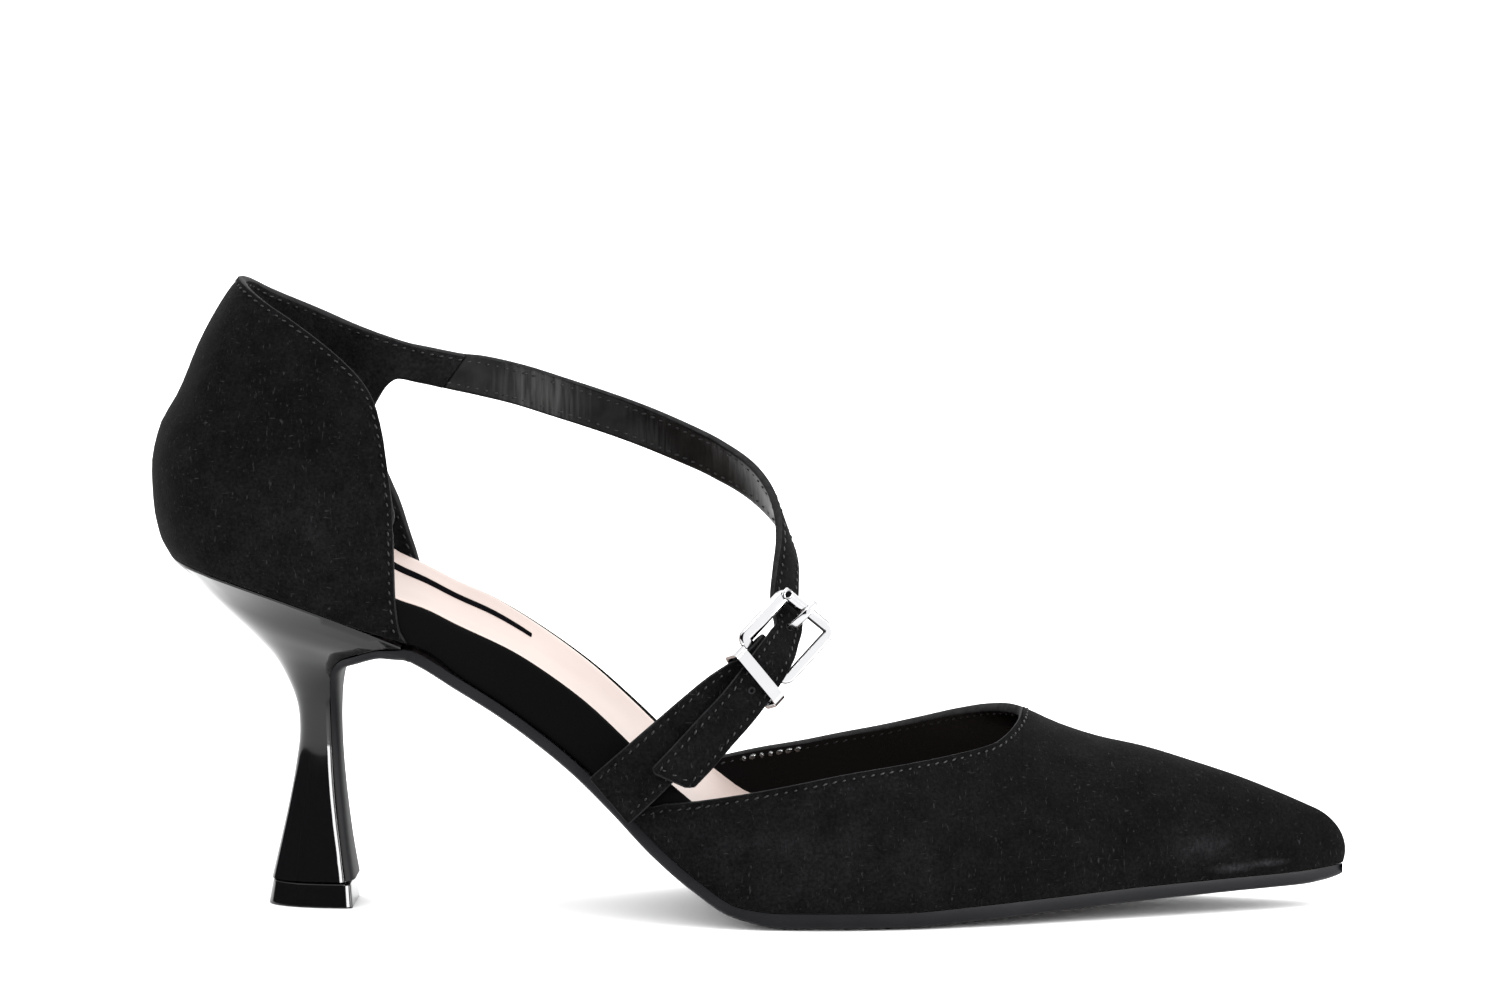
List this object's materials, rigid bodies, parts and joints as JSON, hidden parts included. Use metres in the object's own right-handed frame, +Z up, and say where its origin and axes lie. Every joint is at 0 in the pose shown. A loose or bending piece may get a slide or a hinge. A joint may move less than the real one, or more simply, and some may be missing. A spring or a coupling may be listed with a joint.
{
  "type": "pump shoe",
  "caption": "Pointed-toe suede pump with open waist sides, an instep strap with a prong buckle and a flared spool heel.",
  "frame": {"origin": "on the floor, under the middle of the heel tip", "axes": "+X from the heel to the toe, +Y to the shoe's inner (medial) side, +Z up from the floor"},
  "size_m": [0.245, 0.0763, 0.1293],
  "materials": {
    "suede": "napped black suede",
    "metal": "polished silver",
    "sock": "smooth pale pink leather",
    "sole": "satin black",
    "gloss": "polished black"
  },
  "bodies": {
    "root": {"upper": "suede", "instep_strap": "suede", "buckle_strap": "suede", "buckle_frame": "metal", "buckle_prong": "metal", "strap_keeper": "metal", "insole": "sock", "outsole": "sole", "heel": "gloss", "heel_tip": "gloss"}
  },
  "joints": []
}
